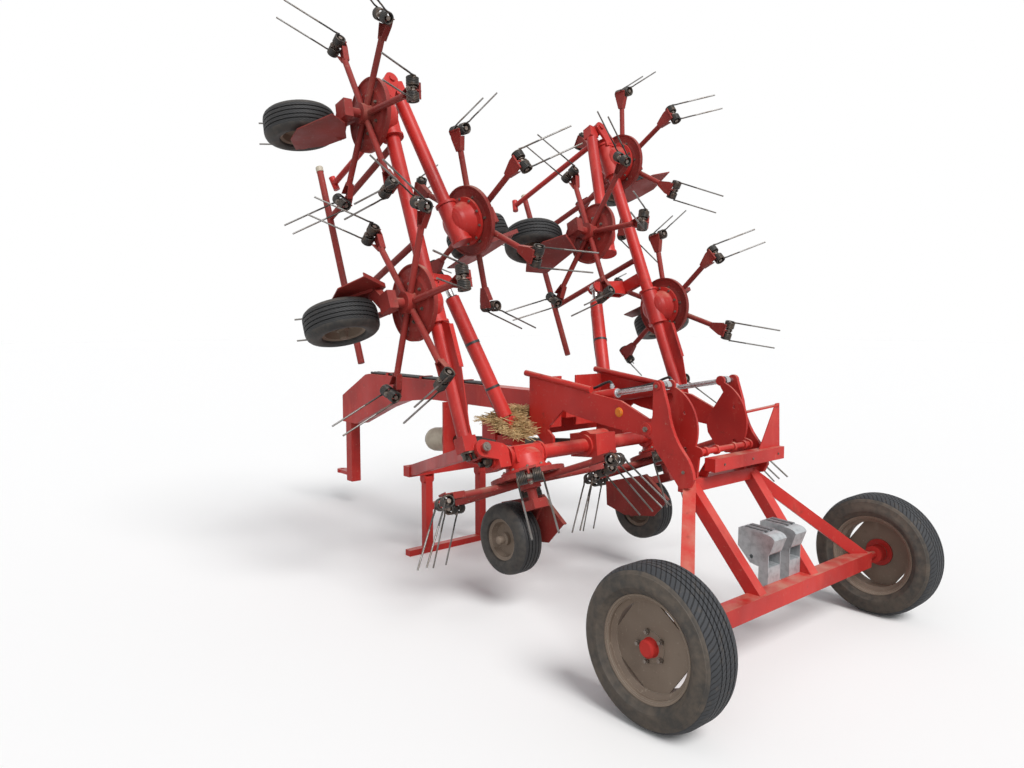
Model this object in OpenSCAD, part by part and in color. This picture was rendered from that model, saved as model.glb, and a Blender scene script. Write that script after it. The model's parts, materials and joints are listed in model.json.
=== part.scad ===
// Trailed hay tedder with eight rotors, folded up on its transport carriage.
// Millimetres, X forward to the tractor, Y to the left, Z up, ground at Z = 0.
// Sizes along X are counted from the transport axle, and the last step puts the
// origin under the middle of the machine.

/* [Transport carriage] */
// Distance between the middles of the two transport tyres
track = 1856; // [1600:2:2200]
// Outer radius of a transport tyre
tyre_r = 322; // [300:1:380]
// Width of a transport tyre
tyre_w = 195; // [165:1:225]
// Radius of the transport rim's flange
rim_r = 212; // [190:1:225]
// Width of the transport rim over its flanges
rim_w = 150; // [120:1:160]
// Side of the square axle beam
axle_box = 80; // [60:1:100]
// Side of the square carriage tubes
frame_box = 60; // [50:1:70]
// Distance of the carriage pivot ahead of the axle
pivot_x = 578; // [540:1:620]
// Height of the carriage pivot
pivot_z = 1048; // [1000:1:1100]
// Angle through which the carriage lifts for work
carriage_lift = 55; // [40:1:60]

/* [Rotors] */
// Distance between neighbouring rotor axes
rotor_pitch = 1110; // [1080:1:1180]
// Forward tilt of the rotors' plane
tilt = 22.1; // [18:0.1:25]
// Radius of a rotor's dished plate
disc_r = 200; // [170:1:215]
// Number of tine arms on a rotor
arm_count = 6; // [5:1:7]
// Diameter of a tine arm
arm_d = 34; // [28:1:40]
// Radius at which the tine springs sit
spring_r = 505; // [470:1:520]
// Outer diameter of a tine spring's coils
coil_d = 66; // [60:1:84]
// Wire of the tine springs
wire_d = 10; // [8:0.5:12]
// Distance of a tine's tip beyond its spring, outward
tine_out = 190; // [120:1:200]
// Distance of a tine's tip below its spring
tine_drop = 286; // [220:1:300]

/* [Folding] */
// Distance of the wing hinge from the machine's middle
hinge_y = 850; // [820:1:880]
// Distance of the wing hinge ahead of the transport axle
hinge_x = 1244; // [1220:1:1290]
// Height of the wing hinge
hinge_z = 912; // [890:1:950]
// Drop of the gear tubes below the hinge pins
hinge_rise = 52; // [48:1:60]
// Drop of the rotor plates below the gear tubes
tube_drop = 115; // [110:1:125]
// Angle through which a wing folds up
wing_fold = 90; // [80:1:92]
// Angle through which an outer rotor folds over
outer_fold = 168; // [160:1:170]
// Distance of the outer hinge beyond the middle rotor's axis
outer_hinge_ahead = 231; // [220:1:240]
// Diameter of the wings' gear tube
wing_tube_d = 80; // [72:1:90]
// Diameter of the outer gear tube
outer_tube_d = 76; // [66:1:80]
// Diameter of the hinge pins
pin_d = 35; // [30:1:40]

/* [Gauge wheels] */
// Radius of a gauge wheel's tyre
gauge_r = 195; // [180:1:205]
// Width of a gauge wheel's tyre
gauge_w = 160; // [140:1:170]
// Distance of a gauge wheel ahead of its rotor's axis
gauge_ahead = 270; // [240:1:300]
// Drop of a gauge wheel's axle below its rotor's plate
gauge_drop = 285; // [275:1:300]
// Turn of the middle left gauge wheel about its spindle
gauge_turn = 10.5; // [-15:0.5:15]

/* [Drawbar] */
// Width of the drawbar
drawbar_w = 120; // [100:1:140]
// Height of the drawbar's top face
drawbar_top = 1145; // [1120:1:1170]
// Depth of the drawbar's straight part
drawbar_h = 140; // [120:1:160]
// Distance of the drawbar's front end ahead of the axle
drawbar_front = 4130; // [4000:5:4300]
// Diameter of the hitch eye's bore
eye_bore = 34; // [28:1:52]
// Height of the hitch eye
eye_z = 262; // [240:1:300]
// Diameter of the drive shaft's splined end
pto_d = 35; // [35:1:45]

/* [Lift cylinders] */
// Diameter of a wing's lift cylinder
lift_d = 83; // [70:1:84]
// Diameter of its rod
lift_rod_d = 40; // [34:1:44]
// Distance of the lift cylinders ahead of the rotor axes
lift_ahead = 210; // [190:1:230]

/* [Parking stand] */
// Length of the stand's foot
foot_l = 780; // [600:10:900]
// Distance of the stand ahead of the axle
stand_x = 2490; // [2400:5:2550]
// Side of the stand's square tubes
stand_box = 55; // [45:1:60]
// Distance of the stand's middle to the left of the machine's
stand_y = 80; // [0:5:120]

/* [Fits] */
// Gap between a turning bore and its pin
fit = 0.05; // [0.02:0.01:0.1]
// Gap between moving plates
gap = 3; // [2:0.5:4]

/* [Hidden] */
$fn = 48;

paint = "orangered";
arm_paint = "firebrick";
steel = "dimgray";
rubber = "black";

eye_x = drawbar_front + 135;
eye_ring_r = 45;
mid_x = (eye_x + eye_ring_r - tyre_r) / 2;
disc_drop = hinge_rise + tube_drop;
centre_y = rotor_pitch / 2;
inner_s = centre_y + rotor_pitch - hinge_y;
middle_s = inner_s + rotor_pitch;
outer_hinge_h = -4;
outer_hinge_s = middle_s + outer_hinge_ahead;
outer_s = rotor_pitch - outer_hinge_ahead;
outer_disc_h = -disc_drop - outer_hinge_h;
half_step = 180 / arm_count;

// Where the lift cylinders are pinned: on the machine, and on the wing
lift_base = [416, 167];
lift_top = [1037, 229];
function turned(v, a) = [v[0] * cos(a) - v[1] * sin(a), v[0] * sin(a) + v[1] * cos(a)];
lift_eye = [hinge_y, 0] + turned(lift_top, wing_fold);
lift_way = lift_eye - lift_base;
lift_len = norm(lift_way);
lift_angle = atan2(lift_way[1], lift_way[0]);
lift_work = [hinge_y, 0] + lift_top - lift_base;
lift_stroke = norm(lift_work) - lift_len;

// Where the carriage cylinders are pinned: on the side plates, and between the carriage's plates
carry_base = [1400, 1095];
carry_eye = [520, 1262];
carry_y = 245;
carry_way = carry_eye - carry_base;
carry_len = norm(carry_way);
carry_angle = atan2(carry_way[1], -carry_way[0]);
side_y = 288;
side_t = 16;
sickle_t = 20;
sickle_y = side_y + side_t / 2 + gap + sickle_t / 2;
sector_y = 205;
sector_t = 12;
apex = [368, 250, 797];
pivot = [pivot_x, pivot_z];

// The drive shaft runs from the middle gearbox down to the front plate
shaft_rear = [hinge_x - hinge_rise * sin(tilt), hinge_z - hinge_rise * cos(tilt)];
shaft_front = [2930, 697];
shaft_way = shaft_front - shaft_rear;
shaft_len = norm(shaft_way);
shaft_angle = atan2(-shaft_way[1], shaft_way[0]);
plate_x = stand_x + 85;
stand_pivot_z = 505;
stand_half = 230;
bar_half = 475;
bar_box = 70;
bar_z = 540;
mount_x = 1560;
mount_half = 470;

// The machine, the tilted frame of its rotors, and the frames that fold
module machine() translate([-mid_x, 0, 0]) children();
module on_side(right) {
    if (right) mirror([0, 1, 0]) children();
    else children();
}
module tilted() machine() translate([hinge_x, 0, hinge_z]) rotate([0, tilt, 0]) children();
module on_wing(right) on_side(right) tilted() translate([0, hinge_y, 0]) rotate([wing_fold, 0, 0]) children();
module on_outer(right) on_wing(right) translate([0, outer_hinge_s, outer_hinge_h])
    rotate([outer_fold, 0, 0]) children();
module at_rotor(place, right) {
    if (place == "centre") on_side(right) tilted() translate([0, centre_y, -disc_drop]) children();
    if (place == "inner") on_wing(right) translate([0, inner_s, -disc_drop]) children();
    if (place == "middle") on_wing(right) translate([0, middle_s, -disc_drop]) children();
    if (place == "outer") on_outer(right) translate([0, outer_s, outer_disc_h]) children();
}

// Plain forms
// Points on a bend from a to c that leaves and arrives along the lines to b, without a itself
function curve(a, b, c, n) = [for (i = [1:n]) let (t = i / n) a * (1 - t) * (1 - t) + b * 2 * t * (1 - t) + c * t * t];
module along(p, q) {
    d = q - p;
    translate(p) rotate([0, acos(d[2] / norm(d)), atan2(d[1], d[0])]) children();
}
module box_beam(p, q, w, h) along(p, q) translate([-h / 2, -w / 2, 0]) cube([h, w, norm(q - p)]);
module rod(p, q, d) along(p, q) cylinder(h = norm(q - p), d = d);
module tube(p, q, d, wall) along(p, q) difference() {
    cylinder(h = norm(q - p), d = d);
    translate([0, 0, -1]) cylinder(h = norm(q - p) + 2, d = d - 2 * wall);
}
module pin_x(l, d) rotate([0, 90, 0]) cylinder(h = l, d = d, center = true);
module pin_y(l, d) rotate([90, 0, 0]) cylinder(h = l, d = d, center = true);
// A flat bar between two points, with round ends, drawn on the plane
module link(p, q, r1, r2) {
    n = turned(q - p, 90) / norm(q - p);
    polygon([p + n * r1, q + n * r2, q - n * r2, p - n * r1]);
    translate(p) circle(r1);
    translate(q) circle(r2);
}
// Puts a drawing of X and Z upright, t thick, its middle at y
module upright(y, t) translate([0, y + t / 2, 0]) rotate([90, 0, 0]) linear_extrude(t) children();
// Puts a drawing of Y and Z across the machine, t thick, its middle at x
module across(x, t) translate([x - t / 2, 0, 0]) rotate([90, 0, 90]) linear_extrude(t) children();

// Drawbar with its gooseneck
module drawbar() color(paint) machine() {
    low = drawbar_top - drawbar_h;
    front = drawbar_front;
    upright(0, drawbar_w) polygon([[1400, low], [2810, low], [3220, low - 46], [3470, low - 120],
        [front - 225, low - 289], [front, low - 289], [front, low - 64], [front - 390, drawbar_top - 8],
        [front - 440, drawbar_top], [1400, drawbar_top]]);
}

module drop_leg() color(paint) machine() {
    top = drawbar_top - drawbar_h - 289;
    leg_x = drawbar_front - 65;
    translate([leg_x - 45, -42, eye_z - 58]) cube([90, 84, top - eye_z + 58 - 0.01]);
    difference() {
        union() {
            translate([leg_x + 40, -36, eye_z - 15]) cube([eye_x - leg_x - 40, 72, 30]);
            translate([eye_x, 0, eye_z - 15]) cylinder(h = 30, r = eye_ring_r);
        }
        translate([eye_x, 0, eye_z - 20]) cylinder(h = 40, d = eye_bore);
    }
}

module shaft_line() translate([shaft_rear[0], 0, shaft_rear[1]]) rotate([0, 90 + shaft_angle, 0]) children();
gearbox_r = 120;
module drive_shaft() color(steel) machine() shaft_line() {
    translate([0, 0, gearbox_r + 0.3]) cylinder(h = shaft_len - gearbox_r - 225, d = 60);
    translate([0, 0, shaft_len - 225]) cylinder(h = 225, d = pto_d);
}

module shaft_guard() color("beige") machine() {
    along_shaft = (plate_x + 20.5 - shaft_rear[0]) / cos(shaft_angle);
    shaft_line() translate([0, 0, along_shaft + 10]) rotate_extrude() polygon([[80, 0], [104, 0], [104, 5], [88, 9],
        [88, 60], [85, 64], [87, 68], [86, 215], [80, 243], [68, 256], [64, 252], [75, 238], [80, 212], [80, 9]]);
}

// Gear tube across the machine, its three gearboxes and the wing hinges' yokes
module gearbox(tube_d) {
    rotate_extrude() polygon(concat([[0, 20], [disc_r * 0.69, 20], [disc_r * 0.69, 34], [112, 38]],
        curve([112, 38], [104, 60], [100, 85], 3), curve([100, 85], [96, 150], [0, tube_drop + 43], 6)));
    translate([0, 0, tube_drop]) pin_y(220, tube_d + 30);
    for (e = [-1, 1]) translate([0, e * 116, tube_drop]) pin_y(14, tube_d + 46);
}
module gear_beam() color(paint) {
    tilted() {
        translate([0, 0, -hinge_rise]) rotate([90, 0, 0])
            cylinder(h = 2 * hinge_y - 220, d = wing_tube_d, center = true);
        translate([0, 0, -hinge_rise]) rotate([0, -tilt + shaft_angle, 0]) {
            translate([-90, -79, -67]) cube([90 + gearbox_r, 158, 134]);
            translate([0, 0, 20]) pin_y(158, 130);
            for (e = [-1, 1]) translate([0, e * 84, 0]) pin_y(14, wing_tube_d + 46);
        }
    }
    for (right = [false, true]) {
        at_rotor("centre", right) {
            gearbox(wing_tube_d);
            translate([-60, -95, 70]) cube([120, 190, 86]);
        }
        on_side(right) tilted() difference() {
            union() {
                translate([-66, hinge_y - 150, -hinge_rise - 60]) cube([132, 72, 110]);
                translate([0, hinge_y - 72, -hinge_rise]) pin_y(16, 92);
                for (x = [-1, 1]) across(x * (45 + gap + 9), 18)
                    link([hinge_y - 110, -30], [hinge_y, 0], 45, 45);
            }
            translate([0, hinge_y - 72, -hinge_rise]) pin_y(30, 60);
            translate([0, hinge_y, 0]) pin_x(200, pin_d);
        }
        on_side(right) tilted() translate([0, hinge_y, 0]) {
            pin_x(150, pin_d - 0.02);
            translate([-80, 0, 0]) pin_x(26, pin_d + 9);
        }
    }
}

// Side plates that reach back to the carriage pivot, with a tube along their tops
module side_plates() color(paint) machine() for (s = [-1, 1]) {
    difference() {
        upright(s * side_y, side_t) difference() {
            union() {
                polygon([[592, 1098], [767, 1170], [983, 1196], [1292, 1234], [1461, 1254], [1461, 930], [1400, 930],
                    [1330, 880], [1262, 860], [1262, 930], [1310, 965], [1291, 993], [1184, 1086], [1122, 1069],
                    [885, 1035], [616, 1010]]);
                translate(pivot) circle(50);
            }
            translate(shaft_rear) circle(wing_tube_d / 2 + 0.3);
        }
        translate([pivot_x, s * side_y, pivot_z]) pin_y(60, 40 + 2 * fit);
    }
    translate([1440, s > 0 ? drawbar_w / 2 + 0.01 : -side_y + 2, 950]) cube([12, side_y - 2 - drawbar_w / 2 - 0.01, 300]);
    rod([980, s * side_y, 1212], [1500, s * side_y, 1275], 34);
    rod([carry_base[0], s * (carry_y - 20), carry_base[1]], [carry_base[0], s * side_y, carry_base[1]], 25);
}

// Front bar with its diagonal arms, the drive shaft's plate and the stand's ears
module front_frame() color(paint) machine() {
    translate([stand_x - bar_box / 2, -bar_half, bar_z]) cube([bar_box, 2 * bar_half, bar_box]);
    for (s = [-1, 1]) box_beam([hinge_x + 84, s * (hinge_y - 90), hinge_z - 10], [stand_x, s * (bar_half - 45), bar_z + 35],
        50, 70);
    difference() {
        translate([plate_x, -105, bar_z + 20]) cube([20, 210, drawbar_top - drawbar_h - bar_z - 20]);
        shaft_line() cylinder(h = shaft_len, d = 60 + 2 * fit);
    }
    translate([stand_x + 30, -105, bar_z + 20]) cube([plate_x + 20 - stand_x - 30, 210, 20]);
    for (y = [-1, 1]) translate([0, stand_y, 0]) for (e = [-1, 1])
        upright(y * stand_half + e * (stand_box / 2 + 1 + 5), 10) difference() {
            link([stand_x, bar_z + 5], [stand_x, stand_pivot_z], 28, 28);
            translate([stand_x, stand_pivot_z]) circle(10 + fit);
        }
}

module cylinder_mount() color(paint) {
    low = drawbar_top - drawbar_h;
    machine() {
        translate([mount_x, -mount_half, low - 110]) cube([120, 2 * mount_half, 110]);
        for (s = [-1, 1]) translate([mount_x - 145, s * lift_base[0] - 45, low - 125]) cube([150, 90, 45]);
    }
    for (right = [false, true]) on_side(right) tilted() {
        for (x = [-1, 1]) difference() {
            across(lift_ahead + x * 40, 14) link([lift_base[0], lift_base[1] - 70], lift_base, 40, 36);
            translate([lift_ahead + x * 40, lift_base[0], lift_base[1]]) pin_x(30, 30);
        }
        translate([lift_ahead, lift_base[0], lift_base[1]]) pin_x(94, 30);
    }
}

module stand() color(paint) machine() translate([0, stand_y, 0]) {
    half = stand_box / 2;
    for (y = [-stand_half, stand_half]) {
        translate([stand_x - half, y - half, 30]) cube([stand_box, stand_box, stand_pivot_z - 30]);
        translate([stand_x, y, stand_pivot_z]) {
            pin_y(stand_box, stand_box);
            pin_y(stand_box + 21, 20);
        }
    }
    translate([stand_x - half, -foot_l / 2, 0]) cube([stand_box, foot_l, 40]);
    translate([stand_x - 20, -stand_half, 290]) cube([40, 2 * stand_half, 45]);
}

// Gauge wheel leg: spindle, clamp, forked arm, axle and side plate, drawn ahead of and above the rotor's plate
broad_plate = [[413, -72], [461, -215], [332, -308], [103, -362], [-49, -292], [66, -107]];
low_plate = [[72, -406], [-159, -323], [-92, -216], [76, -118], [210, -175], [318, -301], [206, -382]];
module gauge_leg(side, plate) {
    arm_y = side * (gauge_w / 2 + 25);
    hub_z = -150;
    translate([0, 0, hub_z + 20]) cylinder(h = 19.9 - hub_z - 20, d = 50);
    translate([-48, -48, hub_z - 30]) cube([96, 96, 50]);
    box_beam([30, 0, hub_z], [110, arm_y, hub_z], 60, 45);
    box_beam([100, arm_y, hub_z], [gauge_ahead, arm_y, -gauge_drop], 16, 70);
    translate([gauge_ahead, arm_y, -gauge_drop]) {
        pin_y(16, 90);
        rotate([side * 90, 0, 0]) cylinder(h = gauge_w + 30, d = 25);
    }
    upright(side * (gauge_w / 2 + 35), 6) polygon(plate);
    edge_y = side * (gauge_w / 2 + 44);
    if (plate == broad_plate) box_beam([66, edge_y, -107], [-49, edge_y, -292], 25, 6);
}
module centre_legs() color(arm_paint) for (right = [false, true]) at_rotor("centre", right) gauge_leg(-1, broad_plate);

module hoses() color(rubber) machine() {
    top = drawbar_top + 9;
    for (y = [-30, 0, 30]) rod([drawbar_front - 440, y, top], [2200, y, top], 18);
}

// Carriage: sickle plates with the pivot, sector plates inside them, frame of square tubes, axle
module outer_strut(s, grow)
    box_beam([apex[0], s * apex[1], apex[2]], [0, s * (track / 2 - 180), tyre_r + 20], frame_box + grow, frame_box + grow);
module light_bar(grow) translate([270 - grow, -417 - grow, 862 - grow])
    cube([60 + 2 * grow, 603 + 2 * grow, 63 + 2 * grow]);
module sickle_plates() color(paint) machine() {
    foot = apex[2] + frame_box / 2 + 0.3;
    for (s = [-1, 1]) {
        difference() {
            upright(s * sickle_y, sickle_t) {
                polygon(concat([[317, 799], [295, 840]], curve([295, 840], [297, 905], [360, 965], 4),
                    curve([360, 965], [432, 1045], [449, 1161], 5), [[484, 1263], [540, 1263], [541, 1120]],
                    curve([541, 1120], [585, 1000], [468, 898], 6), [[372, 786]]));
                translate([512, 1263]) circle(28);
                link(pivot, [510, pivot_z], 34, 46);
            }
            translate([pivot_x, s * sickle_y, pivot_z]) pin_y(60, 39);
            outer_strut(s, 1.2);
            light_bar(0.4);
        }
        translate([pivot_x, s * (sickle_y - 15), pivot_z]) pin_y(60, 40);
        upright(s * sector_y, sector_t) difference() {
            union() {
                intersection() {
                    translate(pivot) circle(222);
                    polygon([[300, 880], [520, 897], [590, 985], [603, 1050], [500, 1205], [560, 1300], [300, 1300]]);
                }
                translate(carry_eye) circle(26);
                polygon([[355, foot], [420, foot], [440, 930], [410, 960], [345, 930]]);
                link([348, 950], [425, 955], 24, 40);
            }
            translate([425, 955]) circle(12);
            translate([433, 1132]) circle(8);
        }
    }
    rod([348, -sector_y, 950], [348, sector_y, 950], 30);
    for (y = [-160, -70, 70, 160]) translate([348, y, 950]) pin_y(16, 46);
}
module carriage_frame() color(paint) machine() {
    half = axle_box / 2;
    reach = sickle_y - sickle_t / 2 - 0.3;
    translate([-half, -track / 2 + 150, tyre_r - half]) cube([axle_box, track - 300, axle_box]);
    for (s = [-1, 1]) {
        rod([0, s * (track / 2 - 160), tyre_r], [0, s * (track / 2 + 50), tyre_r], 40);
        box_beam([apex[0], s * apex[1], apex[2]], [0, s * 224, tyre_r + 20], frame_box, frame_box);
        outer_strut(s, 0);
    }
    translate([apex[0] - 30, -reach, apex[2] - 30]) cube([60, 2 * reach, 60]);
    for (y = [-170, 150]) upright(y, 14) polygon([[342, 826], [394, 826], [345, 905], [325, 915], [325, 865]]);
    light_bar(0);
    across(300, 6) polygon([[-228, 905], [-417, 905], [-417, 922], [-404, 1150], [-372, 1150], [-276, 997], [-228, 922]]);
    box_beam([300, -392, 1140], [377, -sector_y - sector_t / 2 - 8, 1109], 30, 8);
}

// Wheel chocks in their holders ahead of the axle: the middle and the width of each
module wheel_chocks() color("silver") machine() for (c = [[35, 104], [-146, 98]]) {
    wide = c[1];
    front = axle_box / 2 + 0.3;
    translate([front, c[0] - wide / 2, 336]) cube([50, wide, 100]);
    upright(c[0], wide) polygon([[front, 431], [96, 436], [136, 444], [203, 514], [199, 518], [134, 450], [95, 442],
        [front, 438]]);
    for (e = [-1, 1]) upright(c[0] + e * (wide / 2 - 2), 4) difference() {
        polygon([[front, 431], [96, 436], [136, 444], [203, 514], [front, 500]]);
        translate([130, 474]) circle(10);
    }
    upright(c[0], wide) polygon(concat([[203, 512], [202, 599], [60, 594]], curve([60, 594], [20, 592], [11, 570], 4),
        [[34, 506], [front, 498]]));
}

module carry_line(s) translate([carry_base[0], s * carry_y, carry_base[1]]) rotate([0, -90 + carry_angle, 0]) children();
module carriage_barrels() color(paint) machine() for (s = [-1, 1]) carry_line(s) difference() {
    union() {
        pin_y(30, 50);
        translate([0, 0, 15]) cylinder(h = 560, d = 56);
    }
    pin_y(40, 25 + 2 * fit);
    translate([0, 0, 60]) cylinder(h = 560, d = 28 + 2 * fit);
}
module carriage_rods() color(steel) machine() for (s = [-1, 1]) carry_line(s) {
    inner = sector_y + sector_t / 2 + 0.4;
    outer = sickle_y - sickle_t / 2 - 0.4;
    translate([0, 0, 430]) cylinder(h = carry_len - 450, d = 28);
    translate([0, 0, carry_len]) pin_y(30, 46);
    translate([0, s * ((inner + outer) / 2 - carry_y), carry_len]) pin_y(outer - inner, 26);
}

// Rim with a dropped middle, a square plate that leaves four gaps, and a capped hub
seat_r = rim_r - 12;
well_r = rim_r - 31;
lip = rim_w / 2 - 5.5;
module rim() rotate([90, 0, 0]) {
    rotate_extrude() polygon([[rim_r, -rim_w / 2], [rim_r, -lip], [seat_r, -lip], [seat_r, -48], [well_r, -36],
        [well_r, 36], [seat_r, 48], [seat_r, lip], [rim_r, lip], [rim_r, rim_w / 2], [rim_r - 6, rim_w / 2],
        [seat_r - 5, lip - 4], [seat_r - 5, 50], [well_r - 5, 38], [well_r - 5, -38], [seat_r - 5, -50],
        [seat_r - 5, 4 - lip], [rim_r - 6, -rim_w / 2]]);
    translate([0, 0, -35]) linear_extrude(8) difference() {
        intersection() {
            circle(well_r - 3);
            rotate(35) square(2 * 160, center = true);
        }
        circle(30);
    }
    rotate_extrude() polygon([[20 + fit, 50], [45, 50], [45, -20], [62, -24], [62, -38], [38, -41], [36, -66],
        [28, -73], [0, -73], [0, -58], [20 + fit, -58]]);
}
module tyre() rotate([90, 0, 0]) rotate_extrude() polygon([[well_r + 0.01, -36], [seat_r + 0.01, -48],
    [seat_r + 0.01, 0.01 - lip], [rim_r + 0.01, 0.01 - lip], [rim_r + 0.01, -rim_w / 2 + 1], [rim_r + 7, -rim_w / 2 - 3],
    [rim_r + 25, -tyre_w / 2 + 4], [rim_r + 48, -tyre_w / 2], [tyre_r - 38, -tyre_w / 2 + 4],
    [tyre_r - 16, -tyre_w / 2 + 15], [tyre_r - 4, -tyre_w / 2 + 34], [tyre_r, -tyre_w / 2 + 52],
    [tyre_r, tyre_w / 2 - 52], [tyre_r - 4, tyre_w / 2 - 34], [tyre_r - 16, tyre_w / 2 - 15],
    [tyre_r - 38, tyre_w / 2 - 4], [rim_r + 48, tyre_w / 2], [rim_r + 25, tyre_w / 2 - 4],
    [rim_r + 7, rim_w / 2 + 3], [rim_r + 0.01, rim_w / 2 - 1], [rim_r + 0.01, lip - 0.01], [seat_r + 0.01, lip - 0.01],
    [seat_r + 0.01, 48], [well_r + 0.01, 36]]);
module at_wheel(right) on_side(right) machine() translate([0, track / 2, tyre_r]) children();
module rim_left() color("tan") at_wheel(false) rim();
module rim_right() color("tan") at_wheel(true) rim();
module tyre_left() color(rubber) at_wheel(false) tyre();
module tyre_right() color(rubber) at_wheel(true) tyre();

// Rotors: dished plate, hub, arms with their flared brackets, and the coil springs with their tines
spring_z = -19.3 - coil_d / 2;
module rotor() color(arm_paint) {
    rotate_extrude() polygon([[25 + fit, -70], [56, -70], [56, -12], [130, -12], [150, -6], [184, -6],
        [disc_r - 6, -14], [disc_r, -14], [disc_r, 12], [disc_r - 6, 12], [184, 2], [150, 2], [126, 10], [25 + fit, 10]]);
    for (i = [0:arm_count - 1]) rotate(i * 360 / arm_count) {
        translate([45, 0, -32]) rotate([0, 90, 0]) cylinder(h = spring_r - 145, d = arm_d);
        translate([0, 0, -17]) linear_extrude(5) polygon([[spring_r - 115, -arm_d / 2], [spring_r - 38, -40],
            [spring_r + 4, -41], [spring_r + 4, 41], [spring_r - 38, 40], [spring_r - 115, arm_d / 2]]);
        translate([spring_r - 1, -41, -17]) cube([5, 82, 12]);
        for (e = [-1, 1]) translate([0, 0, -46]) linear_extrude(34) polygon([[spring_r - 115, e * (arm_d / 2 - 5)],
            [spring_r - 115, e * arm_d / 2], [spring_r - 38, e * 40], [spring_r - 38, e * 35]]);
        translate([spring_r, 0, spring_z + 12.3]) cylinder(h = 15 - spring_z - 32, d = 12);
    }
}
// Each spring has two packs of turns on one pin, and each pack runs out into a tine
module tines() color(steel) for (i = [0:arm_count - 1]) rotate(i * 360 / arm_count) translate([spring_r, 0, spring_z]) {
    inside = coil_d / 2 - wire_d;
    pack = 11;
    pitch = wire_d - 0.8;
    for (s = [-1, 1]) {
        rotate([s * -90, 0, 0]) rotate_extrude() polygon(concat([[inside, pack], [coil_d / 2 - 4, pack]],
            [for (k = [0:4], e = [0.5, 1]) [coil_d / 2 - (e == 1 ? 4 : 0), pack + (k + e) * pitch]],
            [[inside, pack + 5 * pitch]]));
        translate([0, s * 9.5, 0]) pin_y(4, coil_d - 10);
        elbow = [58, s * 52, -65];
        rod([coil_d / 2 - 7, s * 52, 9], elbow, wire_d);
        rod(elbow, [tine_out, s * 52, -tine_drop], wire_d);
        translate(elbow) sphere(d = wire_d + 1);
    }
    pin_y(120, 24);
}
module rotor_turn(place, right)
    rotate((place == "inner" || place == "outer" ? 10 : 20) + (right ? half_step : 0)) children();
module gauge() color(rubber) rotate([90, 0, 0]) rotate_extrude() polygon([[12.5 + fit, -50], [40, -50],
    [40, -20], [88, -20], [96, -52], [110, -58], [114, -gauge_w / 2 + 6], [gauge_r - 40, -gauge_w / 2],
    [gauge_r - 14, -gauge_w / 2 + 10], [gauge_r, -gauge_w / 2 + 34], [gauge_r, gauge_w / 2 - 34],
    [gauge_r - 14, gauge_w / 2 - 10], [gauge_r - 40, gauge_w / 2], [114, gauge_w / 2 - 6], [110, 58],
    [96, 52], [88, 20], [40, 20], [40, 50], [12.5 + fit, 50]]);
module swivelled(place, right) rotate(place == "middle" && !right ? gauge_turn : 0) children();
module at_gauge(place, right) at_rotor(place, right) swivelled(place, right)
    translate([gauge_ahead, 0, -gauge_drop]) children();

// Wings
module wing_beam(right) color(paint) on_wing(right) {
    difference() {
        union() {
            pin_x(90, 88);
            translate([-40, 0, -hinge_rise - 44]) cube([80, 80, 84]);
        }
        pin_x(100, pin_d + 2 * fit);
    }
    tube([0, 70, -hinge_rise], [0, outer_hinge_s - 70, -hinge_rise], wing_tube_d, 6);
    translate([0, 0, -hinge_rise - 3]) linear_extrude(6) polygon([[5 - wing_tube_d / 2, 84], [-58, 110], [-112, 420],
        [-112, inner_s - 160], [5 - wing_tube_d / 2, inner_s - 110]]);
    box_beam([-112, 420, -hinge_rise], [-112, inner_s - 160, -hinge_rise], 5, 26);
    for (s = [inner_s, middle_s]) translate([0, s, -disc_drop]) gearbox(wing_tube_d);
    difference() {
        union() {
            for (x = [-1, 1]) across(x * (40 + gap + 8), 16)
                link([outer_hinge_s - 90, -hinge_rise], [outer_hinge_s, outer_hinge_h], 45, 40);
            translate([-59, outer_hinge_s - 140, -hinge_rise - 40]) cube([118, 60, 80]);
        }
        translate([0, outer_hinge_s, outer_hinge_h]) pin_x(200, pin_d);
    }
    translate([0, outer_hinge_s, outer_hinge_h]) pin_x(140, pin_d - 0.02);
    for (x = [-1, 1]) across(lift_ahead + x * 28, 12)
        link([lift_top[0], -30], lift_top, 50, 34);
    translate([0, lift_top[0] - 40, -hinge_rise - 20]) cube([lift_ahead + 34, 80, 40]);
}

module wing_guard(right) color(arm_paint) on_wing(right) {
    reach = 870;
    rod([reach, 790, -30], [reach, 2130, -30], 42);
    for (s = [inner_s + 362, middle_s - 158]) rod([wing_tube_d / 2 + 0.3, s, -hinge_rise], [reach, s, -30], 38);
}

module wing_legs(right) color(arm_paint) {
    at_rotor("inner", right) gauge_leg(1, broad_plate);
    at_rotor("middle", right) swivelled("middle", right) gauge_leg(-1, low_plate);
}

module outer_beam(right) color(paint) on_outer(right) {
    difference() {
        union() {
            pin_x(80, 76);
            translate([-36, 0, outer_disc_h + tube_drop - 38]) cube([72, 80, 70]);
        }
        pin_x(100, pin_d + 2 * fit);
    }
    tube([0, 70, outer_disc_h + tube_drop], [0, outer_s + 60, outer_disc_h + tube_drop], outer_tube_d, 5);
    translate([0, outer_s, outer_disc_h]) gearbox(outer_tube_d);
    rod([outer_tube_d / 2 - 3, 125, outer_disc_h + tube_drop], [894, 125, -50], 38);
    rod([894, 80, -50], [894, 170, -50], 42);
}
module outer_leg(right) color(arm_paint) at_rotor("outer", right) gauge_leg(1, broad_plate);

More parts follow.
